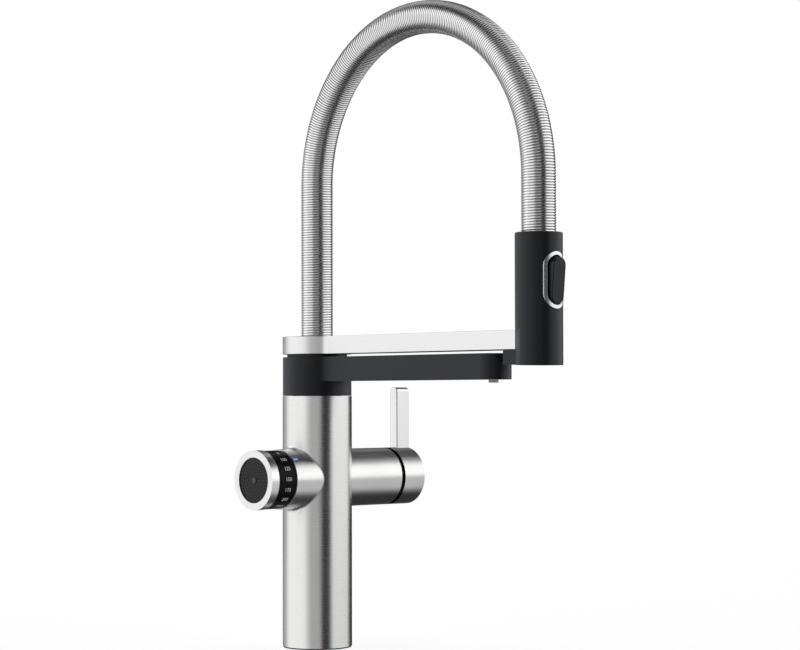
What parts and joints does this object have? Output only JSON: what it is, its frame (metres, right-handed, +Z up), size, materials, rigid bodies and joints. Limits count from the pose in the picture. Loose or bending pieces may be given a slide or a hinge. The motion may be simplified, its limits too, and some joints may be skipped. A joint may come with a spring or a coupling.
{
  "type": "water filter kitchen tap",
  "caption": "Deck-mounted kitchen tap with a round steel column, side lever, arched spring hose with a docked spray head, a separate swivelling filtered-water arm and a measuring dial.",
  "frame": {"origin": "centre of the base's seating face, where the gasket meets the worktop, on the column's axis", "axes": "+Z up along the column, -Y along both arms towards the spray head, +X towards the mixer lever, -X towards the measuring knob"},
  "size_m": [0.1587, 0.2858, 0.5507],
  "materials": {
    "brushed_column": "brushed round the column",
    "satin_steel": "fine satin",
    "blue_light": "lit from behind",
    "black_rubber": "matte",
    "brass": "machined",
    "zinc_steel": "zinc plated",
    "magnet_nickel": "nickel plated",
    "copper_tube": "drawn tube",
    "white_tube": "smooth",
    "black_plastic": "satin moulded",
    "inner_plastic": "moulded",
    "circuit_board": "solder mask",
    "black_coat": "matte coating",
    "grey_plastic": "satin moulded",
    "lens_plastic": "clear over a dark lamp",
    "chrome_trim": "polished",
    "hose_steel": "close wound, polished",
    "hose_rubber": "smooth"
  },
  "bodies": {
    "column": {"body_tube": "brushed_column", "knob_boss": "brushed_column", "light_mark": "blue_light", "base_gasket": "black_rubber", "mounting_shank": "brass", "rubber_washer": "black_rubber", "clamp_washer": "zinc_steel", "clamp_nut": "brass", "clamp_screws": "zinc_steel", "valve_body": "brass", "inlet_sockets": "brass", "mixed_riser": "copper_tube", "filter_riser": "white_tube", "swivel_post": "brass", "snap_ring": "zinc_steel", "collar_seals": "black_rubber", "neck_spacer": "black_plastic", "dial_core": "inner_plastic", "dial_bearing": "inner_plastic", "encoder_board": "circuit_board", "button_spring": "zinc_steel", "mixer_housing": "brushed_column", "mixer_cartridge": "inner_plastic", "cartridge_nut": "brass"},
    "filter_arm": {"filter_arm": "black_coat", "filter_arm_cover": "black_coat", "filter_tube": "white_tube", "filter_nozzle": "grey_plastic"},
    "spout": {"spout_arm": "satin_steel", "spout_arm_cover": "satin_steel", "spout_bush": "inner_plastic", "hose_nipple": "brass", "dock_block": "black_coat", "dock_magnets": "magnet_nickel", "wound_hose": "hose_steel", "water_hose": "hose_rubber"},
    "spray_head": {"spray_body": "black_coat", "button_bezel": "chrome_trim", "rocker_pin": "zinc_steel", "hose_connector": "brass", "spray_core": "inner_plastic", "spray_face": "inner_plastic", "aerator": "grey_plastic", "keeper_plate": "zinc_steel"},
    "rocker": {"rocker_button": "black_plastic", "diverter_finger": "inner_plastic"},
    "dial": {"dial_ring": "black_plastic", "knob_rim": "satin_steel"},
    "start_button": {"touch_disc": "black_plastic", "centre_lens": "lens_plastic", "button_plunger": "inner_plastic"},
    "mixer_rotor": {"cartridge_rotor": "inner_plastic", "stem_pin": "zinc_steel"},
    "lever": {"lever_stem": "zinc_steel", "lever_cap": "satin_steel", "lever_blade": "satin_steel", "grub_screw": "zinc_steel"}
  },
  "joints": [
    {"name": "filter_arm_swivel", "type": "hinge", "parent": "column", "child": "filter_arm", "pos_m": [0, 0, 0.2154], "axis": [0, 0, 1], "range_deg": [-70, 70]},
    {"name": "spout_swivel", "type": "hinge", "parent": "column", "child": "spout", "pos_m": [0, 0, 0.2304], "axis": [0, 0, 1], "range_deg": [-70, 70]},
    {"name": "spray_undock", "type": "slide", "parent": "spout", "child": "spray_head", "axis": [0, -1, 0], "range_m": [0, 0.1], "deforming": ["wound_hose", "water_hose"]},
    {"name": "rocker_tilt", "type": "hinge", "parent": "spray_head", "child": "rocker", "pos_m": [0, -0.2508, 0.275], "axis": [1, 0, 0], "range_deg": [-10.4, 0]},
    {"name": "dial_turn", "type": "hinge", "parent": "column", "child": "dial", "pos_m": [-0.05, 0, 0.1305], "axis": [-1, 0, 0], "range_deg": [-21.2, 317.6]},
    {"name": "button_press", "type": "slide", "parent": "column", "child": "start_button", "axis": [1, 0, 0], "range_m": [0, 0.001], "stiffness_N_per_m": 400, "deforming": ["button_spring"]},
    {"name": "temperature_turn", "type": "hinge", "parent": "column", "child": "mixer_rotor", "pos_m": [0.055, 0, 0.1305], "axis": [1, 0, 0], "range_deg": [0, 90]},
    {"name": "flow_tilt", "type": "hinge", "parent": "mixer_rotor", "child": "lever", "pos_m": [0.0558, 0, 0.1305], "axis": [0, 1, 0], "range_deg": [0, 20]}
  ]
}
